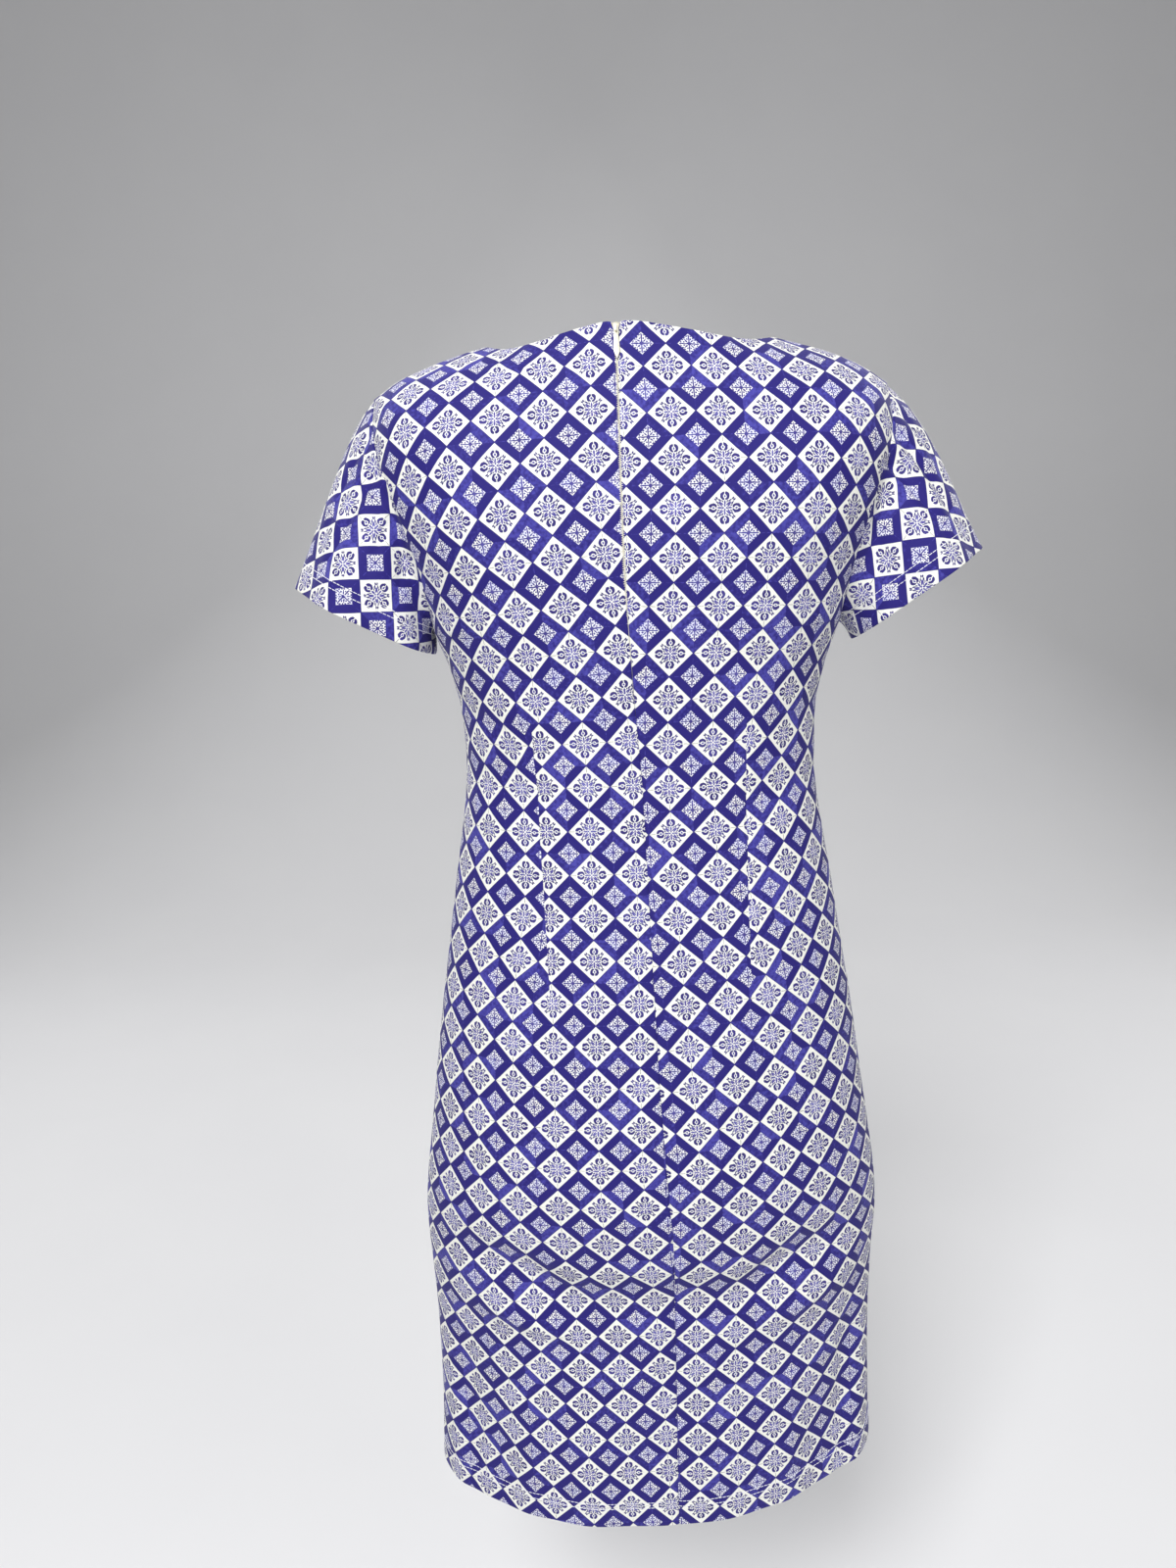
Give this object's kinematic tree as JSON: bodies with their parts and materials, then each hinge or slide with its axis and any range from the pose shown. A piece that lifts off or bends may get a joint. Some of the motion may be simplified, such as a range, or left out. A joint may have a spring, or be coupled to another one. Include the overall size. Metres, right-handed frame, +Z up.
{
  "type": "a-line dress",
  "caption": "Slim short-sleeved dress held open as worn: boat neck, set-in sleeves, shaped waist, knee-length hem and a back zip with a swinging pull tab.",
  "frame": {"origin": "between the shoulders, level with the points where the neckline meets the shoulder seams, where a wearer or a bust holds the dress up", "axes": "+Z up along the dress, +Y out of its front, +X towards the wearer's right"},
  "size_m": [0.5311, 0.2206, 0.9748],
  "materials": {
    "printed_cloth": "woven cotton with a soft sheen, printed all over in blue and cream",
    "zip_tape": "cream woven tape and nylon coil",
    "zip_enamel": "cream enamel, satin"
  },
  "bodies": {
    "dress": {"front": "printed_cloth", "back_left": "printed_cloth", "back_right": "printed_cloth", "sleeve_left": "printed_cloth", "sleeve_right": "printed_cloth", "zip_chain": "zip_tape", "zip_slider": "zip_enamel"},
    "pull": {"zip_pull": "zip_enamel"}
  },
  "joints": [
    {"name": "pull_swing", "type": "hinge", "parent": "dress", "child": "pull", "pos_m": [-0.01201, -0.0748, -0.00213], "axis": [-1, 0, 0], "range_deg": [0, 140]}
  ]
}
